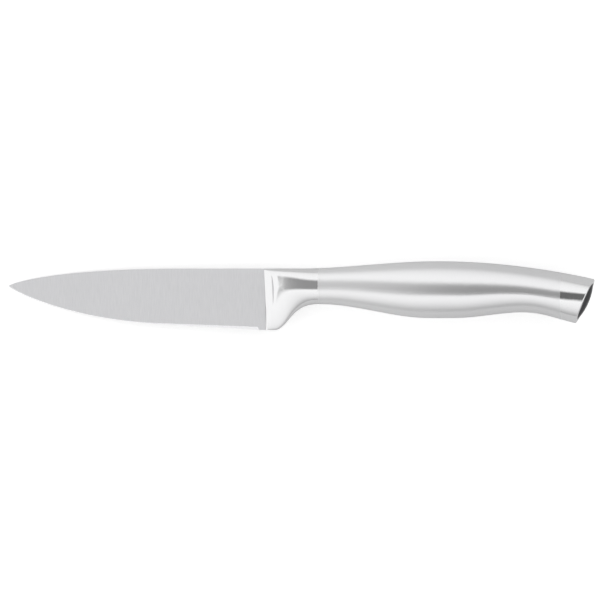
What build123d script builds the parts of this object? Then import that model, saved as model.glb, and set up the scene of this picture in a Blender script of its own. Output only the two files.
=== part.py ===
from build123d import *
import os
from math import cos, radians, sin, tan

# Paring knife with a hollow handle welded up from steel pieces, in millimetres.
# It lies on its side: the tip points to -X, the spine to +Y, and +Z is the way its flank faces.
# It is drawn with X = 0 where blade and bolster meet, Y = 0 on the spine and Z = 0 in its middle.

# Blade
blade_length = 90.0
blade_depth = 21.3
tip_drop = 5.95
tip_height = 0.33
spine_thickness = 1.8
heel_thickness = 0.68
tip_thinning = 1.2
edge_land = 0.06
bevel_angle = 17.7
heel_unground = 3.4
runout_angle = 21.5

# Tongue and tang, the end of the blade that is hidden in the handle
tongue_length = 2.2
tongue_inset = 1.6
tang_depth = 7.0
tang_reach = 30.0
tang_corner = 2.0

# Bolster
bolster_length = 18.67
guard_width = 6.3
guard_turn_angle = 50.5
guard_flare_angle = 38.0
flank_width = 7.85
flank_flare_angle = 25.0
neck_depth = 12.3
neck_width = 10.8
neck_flare_angle = 7.6
joint_line_lean = 1.05
nose_step = 0.12
nose_angle = 18.0
nose_radius = 8.0
spigot_length = 4.0

# Hollow grip
grip_length = 84.12
swell_rise = 2.49
swell_depth = 17.14
swell_width = 16.4
waist_depth = 15.13
waist_width = 15.8
guard_ridge_drop = 0.25
neck_ridge_drop = 0.25
grip_ridge_drop = 0.9
shell_wall = 1.0

# Butt collar and end cap
butt_length = 11.27
butt_spine_drop = 3.73
butt_depth = 18.92
butt_width = 16.6
butt_slant_angle = 23.3
spine_fall_angle = 12.4
belly_fall_angle = 12.4
butt_ridge_lift = 1.9
rim_wall = 0.9
rim_round = 0.4
ledge_wall = 2.3
cap_thickness = 1.6
cap_dome = 1.15

# Joints
fit_gap = 0.04
girth_weld_width = 1.2
seam_weld_width = 1.0
cap_weld_width = 0.6
cap_weld_throat = 0.6
tang_weld_leg = 1.2

# How far a cutting tool runs past what it cuts
overrun = 5.0

# The guard is as deep as the blade's heel
guard_depth = blade_depth

# Places along the handle
grip_start = bolster_length
grip_end = grip_start + grip_length
butt_end = grip_end + butt_length
handle_centre_depth = neck_depth / 2

# Blade outline: shares of blade length back from the bolster, and of blade depth down from the spine
spine_bend_share = 0.33
spine_sweep_shares = ((0.829, 0.0), (0.9916, 0.239))
edge_bend_shares = (0.416, 0.9026)
edge_belly_shares = ((0.7496, 0.8244), (0.9697, 0.3946))

# Where the handle's curves turn, as shares of the bolster and of the grip
guard_start_share = 0.17
flank_turn_share = 0.325
guard_turn_shares = (0.46, 0.522)
spine_lift_share = 0.65
spine_swell_share = 0.483
belly_swell_shares = (0.455, 0.553)
belly_waist_share = 0.844
width_swell_share = 0.52
ridge_drop_share = 0.75

# Roundness of a handle section: how far its curves reach along its sides, above and below its widest
# place, and along its top and bottom. The guard is flat-sided above its ridge and a wedge below.
guard_round_shares = (0.78, 0.34, 0.80, 0.46)
flank_round_shares = (0.76, 0.28, 0.77, 0.38)
neck_round_shares = (0.63, 0.60, 0.60, 0.60)
swell_round_shares = (0.50, 0.55, 0.55, 0.55)

# How many sections the bolster and the grip are drawn through
bolster_section_count = 22
grip_section_count = 17

out_dir = "parts"
os.makedirs(out_dir, exist_ok=True)


# A smooth curve through stations of (place, value, slope), straight beyond its ends
def curve_value(place, stations):
    first, last = stations[0], stations[-1]
    if place <= first[0]:
        return first[1] + first[2] * (place - first[0])
    if place >= last[0]:
        return last[1] + last[2] * (place - last[0])
    for start, end in zip(stations, stations[1:]):
        if place <= end[0]:
            span = end[0] - start[0]
            t = (place - start[0]) / span
            rise = (3 - 2 * t) * t * t
            lean_in = t * (1 - t) * (1 - t)
            lean_out = t * t * (t - 1)
            return start[1] * (1 - rise) + end[1] * rise + span * (start[2] * lean_in + end[2] * lean_out)


def grip_place(share):
    return grip_start + share * grip_length


spine_slope = -tan(radians(spine_fall_angle))
belly_slope = -tan(radians(belly_fall_angle))
belly_corner = butt_end - (butt_depth - butt_spine_drop) * tan(radians(butt_slant_angle))

spine_stations = (
    (bolster_length * spine_lift_share, 0, 0),
    (grip_place(spine_swell_share), swell_rise, 0),
    (butt_end, -butt_spine_drop, spine_slope),
)
guard_start = bolster_length * guard_start_share
flank_turn = bolster_length * flank_turn_share
guard_turn = bolster_length * guard_turn_shares[0]
guard_turn_depth = neck_depth + guard_turn_shares[1] * (guard_depth - neck_depth)

belly_stations = (
    (guard_start, -guard_depth, 0),
    (guard_turn, -guard_turn_depth, tan(radians(guard_turn_angle))),
    (grip_start, -neck_depth, 0),
    (grip_place(belly_swell_shares[0]), -swell_depth, 0),
    (grip_place(belly_swell_shares[1]), -swell_depth, 0),
    (grip_place(belly_waist_share), -waist_depth, 0),
    (belly_corner, -butt_depth, belly_slope),
)
width_stations = (
    (guard_start, guard_width, tan(radians(guard_flare_angle))),
    (flank_turn, flank_width, tan(radians(flank_flare_angle))),
    (grip_start, neck_width, tan(radians(neck_flare_angle))),
    (grip_place(width_swell_share), swell_width, 0),
    (grip_place(belly_waist_share), waist_width, 0),
    (butt_end, butt_width, 0),
)

# The ridge, which is the widest line of a flank, and how far it runs below the middle of the handle
ridge_slope = -butt_ridge_lift / butt_length
ridge_drop_stations = (
    (guard_start, guard_ridge_drop, 0),
    (grip_start, neck_ridge_drop, 0),
    (grip_place(ridge_drop_share), grip_ridge_drop, 0),
    (grip_end, 0, ridge_slope),
    (butt_end, -butt_ridge_lift, ridge_slope),
)


# The four roundnesses of the section at a place
def roundness_at(place):
    rounds = zip(guard_round_shares, flank_round_shares, neck_round_shares, swell_round_shares)
    places = (guard_start, flank_turn, grip_start, grip_place(width_swell_share))
    return [curve_value(place, [(at, value, 0) for at, value in zip(places, values)]) for values in rounds]


# The height of the ridge at a place: in the bolster it keeps to the spine, in the grip to the middle
def ridge_height(place):
    high = curve_value(place, spine_stations)
    low = curve_value(place, belly_stations)
    middle = high - handle_centre_depth if place < grip_start else (high + low) / 2
    return middle - curve_value(place, ridge_drop_stations)


# One closed section across the handle, drawn in by inset on every side
def handle_section(place, inset):
    high = curve_value(place, spine_stations) - inset
    low = curve_value(place, belly_stations) + inset
    side = curve_value(place, width_stations) / 2 - inset
    middle = ridge_height(place)
    rise_share, fall_share, top_share, bottom_share = roundness_at(place)
    high_reach = middle + (high - middle) * rise_share
    low_reach = middle - (middle - low) * fall_share
    quarters = []
    for hand in (1, -1):
        upper = [(place, high, 0), (place, high, hand * side * top_share),
                 (place, high_reach, hand * side), (place, middle, hand * side)]
        lower = [(place, middle, hand * side), (place, low_reach, hand * side),
                 (place, low, hand * side * bottom_share), (place, low, 0)]
        if hand < 0:
            upper, lower = lower[::-1], upper[::-1]
        quarters += [Bezier(*upper), Bezier(*lower)]
    return Face(Wire(quarters))


# A solid through evenly spaced sections of the handle
def handle_form(start, end, count, inset):
    step = (end - start) / (count - 1)
    return loft([handle_section(start + number * step, inset) for number in range(count)])


# The inside or outside of the handle from the grip's start to past its end
def grip_form(inset):
    return handle_form(grip_start, butt_end + overrun, grip_section_count, inset)


big = 2 * (blade_length + butt_end)


# A block that holds everything between two places along the knife
def span_block(start, end):
    return Pos((start + end) / 2, 0, 0) * Box(end - start, big, big)


# Everything under a plane, on the side its normal points away from
def block_behind(plane):
    return plane * Box(big, big, big, align=(Align.CENTER, Align.CENTER, Align.MAX))


# The two ground flanks: flat planes that thin the blade towards its edge and its tip
flank_lean_y = (spine_thickness - heel_thickness) / 2 / blade_depth
flank_lean_x = tip_thinning / 2 / blade_length


def flank_plane(hand, lift=0.0):
    normal = Vector(-flank_lean_x, -flank_lean_y, hand)
    plane = Plane(origin=(0, 0, hand * spine_thickness / 2), z_dir=normal.normalized())
    return plane.offset(lift)


ground_wedge = block_behind(flank_plane(1)) & block_behind(flank_plane(-1))


# The joint line leans a little, so that the bolster stands further forward at the spine
joint_plane = Plane(
    origin=(0, -guard_depth / 2, 0),
    x_dir=(0, 0, 1),
    z_dir=Vector(guard_depth, joint_line_lean, 0).normalized(),
)


def blade_point(shares):
    return (-shares[0] * blade_length, -shares[1] * blade_depth)


def make_blade():
    heel = (0, -blade_depth)
    spine_bend = (-spine_bend_share * blade_length, 0)
    sweep = [blade_point(shares) for shares in spine_sweep_shares]
    spine = [Line(tip, tip_top), Bezier(tip_top, *sweep[::-1], spine_bend)]
    spine += [Line(spine_bend, (0, 0)), Line((0, 0), heel)]
    outline = make_face(cutting_edge_lines(edge_points(heel)) + spine)
    ground = extrude(outline, spine_thickness, both=True) & ground_wedge & block_behind(joint_plane)
    return ground & bevelled_room() + tongue(0) + tang(0)


# Points that the cutting edge follows, from the given start to the tip
def edge_points(start):
    return [start, blade_point(edge_bend_shares), *[blade_point(shares) for shares in edge_belly_shares], tip]


def cutting_edge_lines(points):
    return [Line(points[0], points[1]), Bezier(*points[1:5])]


# A chain of points with its legs moved to their left by a distance
def chain_moved_left(points, distance):
    legs = [Vector(*end) - Vector(*start) for start, end in zip(points, points[1:])]
    lefts = [Vector(-leg.Y, leg.X).normalized() for leg in legs]
    moved = [Vector(*points[0]) + lefts[0] * distance]
    for point, before, after in zip(points[1:], lefts, lefts[1:]):
        moved.append(Vector(*point) + (before + after) * (distance / (1 + before.dot(after))))
    moved.append(Vector(*points[-1]) + lefts[-1] * distance)
    return [(point.X, point.Y) for point in moved]


# The room that the two edge bevels leave to the blade, open towards the spine and the handle
def bevelled_room():
    bend = blade_point(edge_bend_shares)
    rise = (blade_depth + bend[1]) / -bend[0]
    ground_end = (-heel_unground, -blade_depth + rise * heel_unground)
    foot = (ground_end[0] + overrun * tan(radians(runout_angle)), ground_end[1] - overrun)
    chain = [foot, *edge_points(ground_end), (tip[0] - overrun, tip[1] + overrun)]
    depth = heel_thickness
    at_edge = room_face(chain)
    at_depth = room_face(chain_moved_left(chain, -depth / tan(radians(bevel_angle))))
    room = extrude(at_edge, edge_land / 2, both=True)
    for hand in (1, -1):
        near = at_edge.moved(Location((0, 0, hand * edge_land / 2)))
        far = at_depth.moved(Location((0, 0, hand * (edge_land / 2 + depth))))
        room += loft([near, far], ruled=True)
        room += extrude(far, spine_thickness, dir=(0, 0, hand))
    return room


def room_face(chain):
    foot, nose = chain[0], chain[-1]
    corners = [nose, (nose[0], big), (big, big), (big, foot[1]), foot]
    lines = [Line(foot, chain[1]), *cutting_edge_lines(chain[1:6]), Line(chain[5], nose)]
    lines += [Line(start, end) for start, end in zip(corners, corners[1:])]
    return make_face(lines)


# The short ground part of the blade inside the bolster, with a clearance all round
def tongue(gap):
    height = guard_depth - 2 * tongue_inset
    block = Pos(0, -guard_depth / 2, 0) * Box(2 * (tongue_length + gap), height + 2 * gap, guard_depth)
    return block & block_behind(flank_plane(1, gap)) & block_behind(flank_plane(-1, gap))


# The full-thickness tang, which runs through the bolster into the hollow grip
def tang(gap):
    length = tang_reach - tongue_length
    middle = Location((tongue_length + length / 2, -handle_centre_depth, 0))
    face = Rectangle(length + 2 * gap, tang_depth + 2 * gap)
    face = fillet(face.vertices().sort_by(Axis.X)[-2:], tang_corner)
    return middle * extrude(face, spine_thickness / 2 + gap, both=True)


# The nose: a cove in which a flank of the bolster rises from the blade, first at the nose angle
def nose_cut(hand):
    angle = radians(nose_angle)
    height = spine_thickness / 2 + nose_step + nose_radius * cos(angle)
    centre = joint_plane.origin - joint_plane.z_dir * nose_radius * sin(angle) + Vector(0, 0, hand * height)
    return Plane(origin=centre, z_dir=joint_plane.y_dir) * Cylinder(nose_radius, big)


def make_bolster():
    body = handle_form(-guard_start, grip_start, bolster_section_count, 0) - block_behind(joint_plane)
    body = body - nose_cut(1) - nose_cut(-1)
    spigot = grip_form(shell_wall + fit_gap) & span_block(grip_start, spigot_end)
    return body + spigot - tongue(fit_gap) - tang(fit_gap)


# A fillet of weld round the tang, where it comes out of the bolster's back
def make_tang_weld():
    leg = tang_weld_leg
    foot = Plane(origin=(spigot_end, -handle_centre_depth, 0), x_dir=(0, 1, 0), z_dir=(1, 0, 0))
    wide = foot * Rectangle(tang_depth + 2 * leg, spine_thickness + 2 * leg)
    narrow = foot.offset(leg) * Rectangle(tang_depth, spine_thickness)
    return (loft([wide, narrow]) & grip_form(shell_wall + fit_gap)) - tang(0)


# The two stamped shells and the welds that close them, from one tube
def make_shell(hand):
    return tube & span_block(shell_start, shell_end) & side_block(hand * seam_weld_width / 2, hand * big)


def make_seam_welds():
    seam = tube & span_block(shell_start, shell_end) & side_block(-seam_weld_width / 2, seam_weld_width / 2)
    return seam.solids().sort_by(Axis.Y)


def side_block(start, end):
    return Pos(0, 0, (start + end) / 2) * Box(big, big, abs(end - start))


# The slanted end of the handle
top_corner = Vector(butt_end, -butt_spine_drop, 0)
bottom_corner = Vector(belly_corner, -butt_depth, 0)
end_normal = Vector(cos(radians(butt_slant_angle)), -sin(radians(butt_slant_angle)), 0)


def end_plane(lift):
    return Plane(origin=(top_corner + bottom_corner) / 2, x_dir=(0, 0, 1), z_dir=end_normal).offset(lift)


def end_slab(low, high):
    return block_behind(end_plane(high)) - block_behind(end_plane(low))


def make_collar():
    body = outside & span_block(grip_end, big) & block_behind(end_plane(0))
    rim = body.edges().filter_by(lambda edge: abs((edge @ 0 - end_plane(0).origin).dot(end_normal)) < rim_round
                                 and abs((edge @ 1 - end_plane(0).origin).dot(end_normal)) < rim_round)
    body = fillet(rim, rim_round)
    spigot = grip_form(shell_wall + fit_gap) & span_block(grip_end - spigot_length, grip_end + spigot_length)
    seat = grip_form(rim_wall) & end_slab(-cap_thickness, overrun)
    return body + spigot - grip_form(ledge_wall) - seat


def make_cap():
    flange = grip_form(rim_wall + fit_gap) & end_slab(-cap_thickness, -cap_weld_throat)
    radius = butt_width / 2 - rim_wall - cap_weld_width
    ball_radius = (radius**2 + cap_dome**2) / (2 * cap_dome)
    ball = Pos(end_plane(cap_dome - ball_radius).origin) * Sphere(ball_radius)
    inner = grip_form(rim_wall + cap_weld_width) & end_slab(-cap_weld_throat, cap_dome + overrun)
    crown = inner & (ball + block_behind(end_plane(0)))
    return flange + crown


def make_cap_weld():
    ring = grip_form(rim_wall) - grip_form(rim_wall + cap_weld_width)
    return ring & end_slab(-cap_weld_throat, 0)


outside = grip_form(0)
tube = outside - grip_form(shell_wall)
tip_top = (-blade_length, -tip_drop)
tip = (-blade_length, -tip_drop - tip_height)
spigot_end = grip_start + spigot_length
shell_start = grip_start + girth_weld_width
shell_end = grip_end - girth_weld_width

belly_seam, spine_seam = make_seam_welds()
pieces = {
    "blade": make_blade(),
    "bolster": make_bolster(),
    "tang_weld": make_tang_weld(),
    "grip_shell_left": make_shell(1),
    "grip_shell_right": make_shell(-1),
    "spine_seam_weld": spine_seam,
    "belly_seam_weld": belly_seam,
    "front_girth_weld": tube & span_block(grip_start, shell_start),
    "rear_girth_weld": tube & span_block(shell_end, grip_end),
    "butt_collar": make_collar(),
    "end_cap": make_cap(),
    "cap_weld": make_cap_weld(),
}

# Lay the knife down with the middle of its underside at the origin
box = Compound(children=[Part() + piece for piece in pieces.values()]).bounding_box()
lay_down = Location((-box.center().X, -box.center().Y, -box.min.Z))
for name, piece in pieces.items():
    export_step(piece.moved(lay_down), os.path.join(out_dir, name + ".step"))
    print(name, len(piece.solids()), round(piece.volume, 1))
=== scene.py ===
import math
import bpy
import bmesh
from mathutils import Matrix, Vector


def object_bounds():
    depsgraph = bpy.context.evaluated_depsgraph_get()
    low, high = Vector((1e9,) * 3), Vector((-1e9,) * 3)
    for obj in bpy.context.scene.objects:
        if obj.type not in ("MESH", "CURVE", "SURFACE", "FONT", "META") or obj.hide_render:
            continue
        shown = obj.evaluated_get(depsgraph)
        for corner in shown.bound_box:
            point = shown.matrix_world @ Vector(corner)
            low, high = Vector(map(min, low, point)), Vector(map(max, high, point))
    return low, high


# Paring knife lying on its side: blade to -X, butt to +X, spine to +Y, one flank up.
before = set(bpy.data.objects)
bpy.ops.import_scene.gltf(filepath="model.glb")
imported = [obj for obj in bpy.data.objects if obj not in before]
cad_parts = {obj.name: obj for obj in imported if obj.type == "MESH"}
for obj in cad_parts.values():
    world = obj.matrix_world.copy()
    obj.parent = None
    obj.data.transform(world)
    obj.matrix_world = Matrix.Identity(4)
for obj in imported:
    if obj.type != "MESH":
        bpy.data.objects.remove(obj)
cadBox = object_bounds()
scene = bpy.context.scene
mm = 0.001
print("frame loaded:", len(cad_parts), "pieces")


# Small helpers for building materials
def newMaterial(name):
    material = bpy.data.materials.new(name)
    material.use_nodes = True
    material.node_tree.nodes.clear()
    return material, material.node_tree.nodes, material.node_tree.links


def addNode(nodes, kind, **settings):
    node = nodes.new(kind)
    for key, value in settings.items():
        if key in node.inputs:
            node.inputs[key].default_value = value
        else:
            setattr(node, key, value)
    return node


def addMath(nodes, links, operation, first, second):
    node = nodes.new("ShaderNodeMath")
    node.operation = operation
    for socket, value in zip(node.inputs, (first, second)):
        if isinstance(value, (int, float)):
            socket.default_value = value
        else:
            links.new(value, socket)
    return node.outputs[0]


# What all the steels' patterns share; the turn lays the blurred reflections along the grain's axis
grainLook = {
    "lineDetail": 3.0, "cloudDetail": 2.0, "fineness": 0.6, "noiseMiddle": 0.5, "blurTurn": 0.25,
}


# Noise stretched into lines: scale is in lines per metre along each axis
def addLines(nodes, links, coords, scale, detail):
    mapping = nodes.new("ShaderNodeMapping")
    mapping.inputs["Scale"].default_value = scale
    links.new(coords, mapping.inputs["Vector"])
    noise = addNode(nodes, "ShaderNodeTexNoise", Scale=1.0, Detail=detail, Roughness=grainLook["fineness"])
    links.new(mapping.outputs["Vector"], noise.inputs["Vector"])
    return noise.outputs["Fac"]


# Noise as a swing of the given width round zero
def addSwing(nodes, links, noise, width):
    centred = addMath(nodes, links, "SUBTRACT", noise, grainLook["noiseMiddle"])
    return addMath(nodes, links, "MULTIPLY", centred, width)


# A colour that turns from the first to the second with a share; the first may be another node's colour
def addTint(nodes, links, first, second, share):
    tint = nodes.new("ShaderNodeMix")
    tint.data_type = "RGBA"
    if isinstance(first, tuple):
        tint.inputs["A"].default_value = (*first, 1)
    else:
        links.new(first, tint.inputs["A"])
    tint.inputs["B"].default_value = (*second, 1)
    links.new(share, tint.inputs["Factor"])
    return tint.outputs["Result"]


# A share that falls from 1 to 0 between two values
def addFade(nodes, links, value, full, none):
    fade = addNode(nodes, "ShaderNodeMapRange", interpolation_type="SMOOTHSTEP")
    fade.inputs["From Min"].default_value = none
    fade.inputs["From Max"].default_value = full
    links.new(value, fade.inputs["Value"])
    return fade.outputs[0]


# How far a point of the blade lies inside its two ground flanks, which mirror each other
def addDepthUnderFlank(nodes, links, coords):
    blade = bpy.data.objects["blade"].data
    heights = [v.co.z for v in blade.vertices]
    middle = (min(heights) + max(heights)) / 2
    flatEnough = 0.99  # the flanks face up more than this, the bevels less
    flanks = [face for face in blade.polygons if face.normal.z > flatEnough]
    flank = max(flanks, key=lambda face: face.area)
    split = nodes.new("ShaderNodeSeparateXYZ")
    links.new(coords, split.inputs[0])
    height = addMath(nodes, links, "SUBTRACT", split.outputs["Z"], middle)
    aside = addMath(nodes, links, "ABSOLUTE", height, 0)
    reach = addMath(nodes, links, "MULTIPLY", aside, flank.normal.z)
    for axis in (0, 1):
        share = addMath(nodes, links, "MULTIPLY", split.outputs[axis], flank.normal[axis])
        reach = addMath(nodes, links, "ADD", reach, share)
    surface = flank.normal.dot(flank.center) - flank.normal.z * middle
    return addMath(nodes, links, "SUBTRACT", surface, reach)


# Steel: brushed lines in colour, roughness and height, and soft clouds in roughness
def steelMaterial(name, look):
    material, nodes, links = newMaterial(name)
    output = nodes.new("ShaderNodeOutputMaterial")
    steel = addNode(nodes, "ShaderNodeBsdfPrincipled", Metallic=1.0)
    steel.inputs["Anisotropic"].default_value = look["anisotropy"]
    steel.inputs["Specular Tint"].default_value = (*look.get("edgeTint", (1, 1, 1)), 1)
    links.new(steel.outputs[0], output.inputs["Surface"])
    coords = nodes.new("ShaderNodeTexCoord").outputs["Object"]
    lines = addLines(nodes, links, coords, look["lineScale"], grainLook["lineDetail"])
    clouds = addLines(nodes, links, coords, look["cloudScale"], grainLook["cloudDetail"])
    lineSwing = addSwing(nodes, links, lines, look["lineRoughness"])
    cloudSwing = addSwing(nodes, links, clouds, look["cloudRoughness"])
    roughness = addMath(nodes, links, "ADD", lineSwing, cloudSwing)
    roughness = addMath(nodes, links, "ADD", roughness, look["roughness"])
    colour = addTint(nodes, links, look["darkColour"], look["lightColour"], lines)

    if "bevelRoughness" in look:  # the bevels are ground finer than the flanks
        depth = addDepthUnderFlank(nodes, links, coords)
        bevel = addFade(nodes, links, depth, look["bevelFull"], look["bevelStart"])
        finer = addMath(nodes, links, "MULTIPLY", bevel, look["roughness"] - look["bevelRoughness"])
        roughness = addMath(nodes, links, "SUBTRACT", roughness, finer)
    if "neckRoughness" in look:  # the grip is rougher towards the neck, and lighter there as painted light
        along = nodes.new("ShaderNodeSeparateXYZ")
        links.new(coords, along.inputs[0])
        neck = addFade(nodes, links, along.outputs["X"], look["neckFull"], look["neckEnd"])
        coarser = addMath(nodes, links, "MULTIPLY", neck, look["neckRoughness"] - look["roughness"])
        roughness = addMath(nodes, links, "ADD", roughness, coarser)
        # painted light: the grip's colour turns lighter towards the neck, which brightens the dark
        # reflection band near the bolster
        colour = addTint(nodes, links, colour, look["neckPaintedLightColour"], neck)
    links.new(roughness, steel.inputs["Roughness"])
    links.new(colour, steel.inputs["Base Color"])

    bump = addNode(nodes, "ShaderNodeBump", Strength=look["bumpStrength"], Distance=look["bumpDepth"])
    links.new(lines, bump.inputs["Height"])
    links.new(bump.outputs["Normal"], steel.inputs["Normal"])
    if look["anisotropy"] > 0:
        tangent = nodes.new("ShaderNodeTangent")
        tangent.direction_type = "RADIAL"
        tangent.axis = look["grainAxis"]
        links.new(tangent.outputs[0], steel.inputs["Tangent"])
        steel.inputs["Anisotropic Rotation"].default_value = grainLook["blurTurn"]
    return material


bladeLook = {
    "lightColour": (0.83, 0.83, 0.84), "darkColour": (0.675, 0.675, 0.69),
    "roughness": 0.6, "lineRoughness": 0.10, "cloudRoughness": 0.04, "anisotropy": 0.0,
    "bevelRoughness": 0.2, "bevelStart": 0.005 * mm, "bevelFull": 0.03 * mm,
    "lineScale": (5200, 260, 260), "cloudScale": (40, 60, 60), "bumpStrength": 0.25, "bumpDepth": 0.02 * mm,
}
gripLook = {
    "lightColour": (0.77, 0.77, 0.775), "darkColour": (0.73, 0.73, 0.74),
    "roughness": 0.31, "lineRoughness": 0.04, "cloudRoughness": 0.02, "anisotropy": 0.8, "grainAxis": "X",
    "neckRoughness": 0.46, "neckPaintedLightColour": (0.84, 0.84, 0.845), "neckFull": 8 * mm, "neckEnd": 66 * mm,
    "lineScale": (3400, 420, 420), "cloudScale": (30, 50, 50), "bumpStrength": 0.05, "bumpDepth": 0.02 * mm,
}
polishLook = {
    "lightColour": (0.77, 0.77, 0.775), "darkColour": (0.74, 0.74, 0.745),
    "roughness": 0.09, "lineRoughness": 0.02, "cloudRoughness": 0.02, "anisotropy": 0.0,
    "lineScale": (900, 300, 300), "cloudScale": (60, 80, 80), "bumpStrength": 0.012, "bumpDepth": 0.02 * mm,
}
# The end cap's near-black colour and dimmed edge tint are a painted reflection: they stand in for the
# knife's shadow on the floor, which the polished cap mirrors.
paintedReflectionCapLook = {
    "lightColour": (0.14, 0.14, 0.145), "darkColour": (0.12, 0.12, 0.125), "edgeTint": (0.42, 0.42, 0.42),
    "roughness": 0.14, "lineRoughness": 0.03, "cloudRoughness": 0.03, "anisotropy": 0.0,
    "lineScale": (900, 300, 300), "cloudScale": (60, 80, 80), "bumpStrength": 0.012, "bumpDepth": 0.02 * mm,
}

bladeSteel = steelMaterial("satinBlade", bladeLook)
gripSteel = steelMaterial("satinGrip", gripLook)
polishedSteel = steelMaterial("polishedSteel", polishLook)
paintedReflectionCapSteel = steelMaterial("paintedDarkReflectionCap", paintedReflectionCapLook)
print("materials made")

nodeMaterials = {
    "blade": bladeSteel,
    "bolster": polishedSteel, "butt_collar": polishedSteel, "end_cap": paintedReflectionCapSteel, "cap_weld": polishedSteel,
    "grip_shell_left": gripSteel, "grip_shell_right": gripSteel,
    "spine_seam_weld": gripSteel, "belly_seam_weld": gripSteel,
    "front_girth_weld": gripSteel, "rear_girth_weld": gripSteel, "tang_weld": gripSteel,
}
for name, material in nodeMaterials.items():
    for slot in bpy.data.objects[name].material_slots:
        slot.material = material
print("finishes put on")


stageLook = {
    "floorSize": 6.0, "floorGap": 0.02 * mm, "tipSpan": 0.5 * mm, "floorColour": (0.7, 0.7, 0.7),
    "glow": 0.5, "mirrorGlow": 0.05, "worldWhite": 1.0,
}


# The knife lies on its tip and its handle, so the floor leans to touch both
def restingPlane():
    bladePoints = [v.co for v in bpy.data.objects["blade"].data.vertices]
    tipX = min(point.x for point in bladePoints)
    tipZ = min(point.z for point in bladePoints if point.x < tipX + stageLook["tipSpan"])
    drops = []
    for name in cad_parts:
        if name != "blade":
            drops += [(tipZ - v.co.z) / (v.co.x - tipX) for v in bpy.data.objects[name].data.vertices]
    return tipX, tipZ, max(drops)


tipX, tipZ, lean = restingPlane()
floorMesh = bmesh.new()
bmesh.ops.create_grid(floorMesh, x_segments=1, y_segments=1, size=stageLook["floorSize"] / 2)
for vert in floorMesh.verts:
    vert.co.z = tipZ - lean * (vert.co.x - tipX) - stageLook["floorGap"]
floorData = bpy.data.meshes.new("floor")
floorMesh.to_mesh(floorData)
floorMesh.free()
floor = bpy.data.objects.new("floor", floorData)
scene.collection.objects.link(floor)


def floorMaterial():
    material, nodes, links = newMaterial("floor")
    output = nodes.new("ShaderNodeOutputMaterial")
    matt = addNode(nodes, "ShaderNodeBsdfDiffuse")
    matt.inputs["Color"].default_value = (*stageLook["floorColour"], 1)
    glow = addNode(nodes, "ShaderNodeEmission")
    rays = nodes.new("ShaderNodeLightPath")
    direct = addMath(nodes, links, "MULTIPLY", rays.outputs["Is Camera Ray"], stageLook["glow"])
    mirrored = addMath(nodes, links, "MULTIPLY", rays.outputs["Is Glossy Ray"], stageLook["mirrorGlow"])
    links.new(addMath(nodes, links, "ADD", direct, mirrored), glow.inputs["Strength"])
    both = nodes.new("ShaderNodeAddShader")
    links.new(matt.outputs[0], both.inputs[0])
    links.new(glow.outputs[0], both.inputs[1])
    links.new(both.outputs[0], output.inputs["Surface"])
    return material


floorData.materials.append(floorMaterial())
print("floor laid, lean in degrees:", round(math.degrees(math.atan(lean)), 2))


# A value that follows the angle from straight up, given as (degrees, value) stops.
# Straight up is the middle of the colour ramp, which holds no more than 1 and so carries halves.
def addAngleRamp(nodes, links, sideways, upwards, levels):
    angle = addMath(nodes, links, "ARCTAN2", sideways, upwards)
    turn = addMath(nodes, links, "ADD", addMath(nodes, links, "DIVIDE", angle, 2 * math.pi), 0.5)
    ramp = nodes.new("ShaderNodeValToRGB")
    links.new(turn, ramp.inputs[0])
    stops = ramp.color_ramp.elements
    while len(stops) < len(levels):
        stops.new(0.5)
    for stop, (degrees, level) in zip(stops, levels):
        stop.position = degrees / 360 + 0.5
        stop.color = (level / 2, level / 2, level / 2, 1)
    split = nodes.new("ShaderNodeSeparateColor")
    links.new(ramp.outputs["Color"], split.inputs[0])
    return addMath(nodes, links, "MULTIPLY", split.outputs[0], 2.0)


studioLook = {
    "softboxes": [
        (-180, 0.8), (-110, 0.7), (-95, 0.5), (-80, 0.6), (-65, 0.86), (-50, 1.04), (-35, 1.15), (-20, 1.22),
        (20, 1.22), (38, 1.2), (52, 1.18), (66, 1.12), (76, 1.0), (86, 0.75), (98, 0.52), (118, 0.72),
        (180, 0.8),
    ],
    "gapAcross": [(-180, 0), (-17.5, 0), (-8.5, 1), (22, 1), (33.5, 0), (180, 0)],
    "gapAlong": [
        (-180, 0), (-34, 0), (-33.1, 0.12), (-32.9, 0.2), (-32.4, 0.36), (-31.9, 0.44), (-31.2, 0.495),
        (-30.1, 0.55), (-27, 0.58), (-24.7, 0.63), (-18, 0.69), (-14, 0.7), (-9, 0.86), (-5, 0.85),
        (-3, 0.84), (0, 0.97), (12, 0.97), (20, 0.5), (28, 0), (180, 0),
    ],
}


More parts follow.
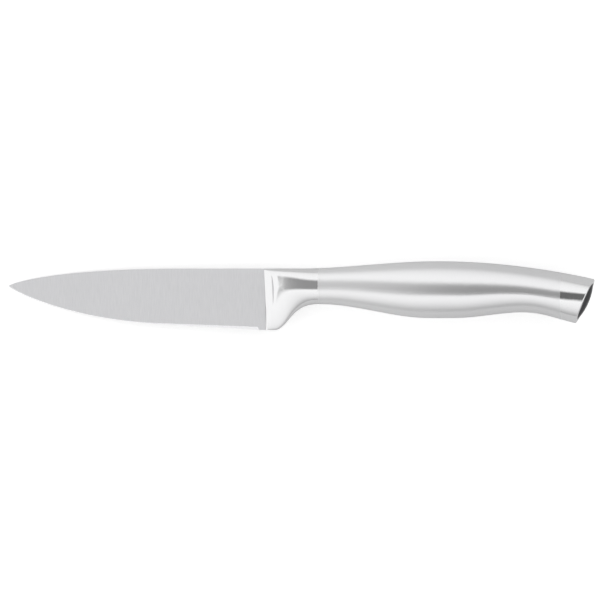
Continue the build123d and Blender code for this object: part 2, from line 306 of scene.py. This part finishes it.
# Studio dome: softboxes along both sides of the knife, and a dark gap between them above it.
# The camera itself sees plain white.
def studioWorld():
    world = bpy.data.worlds.new("studio")
    scene.world = world
    world.use_nodes = True
    nodes, links = world.node_tree.nodes, world.node_tree.links
    nodes.clear()
    output = nodes.new("ShaderNodeOutputWorld")
    direction = nodes.new("ShaderNodeTexCoord").outputs["Generated"]
    split = nodes.new("ShaderNodeSeparateXYZ")
    links.new(direction, split.inputs[0])
    softboxes = addAngleRamp(nodes, links, split.outputs["Y"], split.outputs["Z"], studioLook["softboxes"])
    gapAcross = addAngleRamp(nodes, links, split.outputs["Y"], split.outputs["Z"], studioLook["gapAcross"])
    gapAlong = addAngleRamp(nodes, links, split.outputs["X"], split.outputs["Z"], studioLook["gapAlong"])
    shade = addMath(nodes, links, "MULTIPLY", gapAcross, gapAlong)
    keep = addMath(nodes, links, "SUBTRACT", 1.0, shade)
    studio = nodes.new("ShaderNodeBackground")
    studio.inputs["Color"].default_value = (1, 1, 1, 1)
    links.new(addMath(nodes, links, "MULTIPLY", softboxes, keep), studio.inputs["Strength"])
    white = addNode(nodes, "ShaderNodeBackground", Strength=stageLook["worldWhite"])
    white.inputs["Color"].default_value = (1, 1, 1, 1)
    rays = nodes.new("ShaderNodeLightPath")
    pick = nodes.new("ShaderNodeMixShader")
    links.new(rays.outputs["Is Camera Ray"], pick.inputs[0])
    links.new(studio.outputs[0], pick.inputs[1])
    links.new(white.outputs[0], pick.inputs[2])
    links.new(pick.outputs[0], output.inputs["Surface"])


studioWorld()

cameraLook = {
    "tilt": 7.2, "distance": 2.5, "frameWidth": 0.20734, "centreX": -0.058 * mm, "centreY": -1.482 * mm,
    "sensor": 36, "farClip": 20,
}
camera = bpy.data.objects.new("camera", bpy.data.cameras.new("camera"))
scene.collection.objects.link(camera)
scene.camera = camera
tilt = math.radians(cameraLook["tilt"])
target = Vector((cameraLook["centreX"], cameraLook["centreY"], (cadBox[0][2] + cadBox[1][2]) / 2))
camera.location = target + cameraLook["distance"] * Vector((math.sin(tilt), 0, math.cos(tilt)))
camera.rotation_euler = (0, tilt, 0)
camera.data.sensor_width = cameraLook["sensor"]
camera.data.lens = cameraLook["sensor"] * cameraLook["distance"] / cameraLook["frameWidth"]
camera.data.clip_end = cameraLook["farClip"]
scene.view_settings.view_transform = "Standard"
print("camera set")
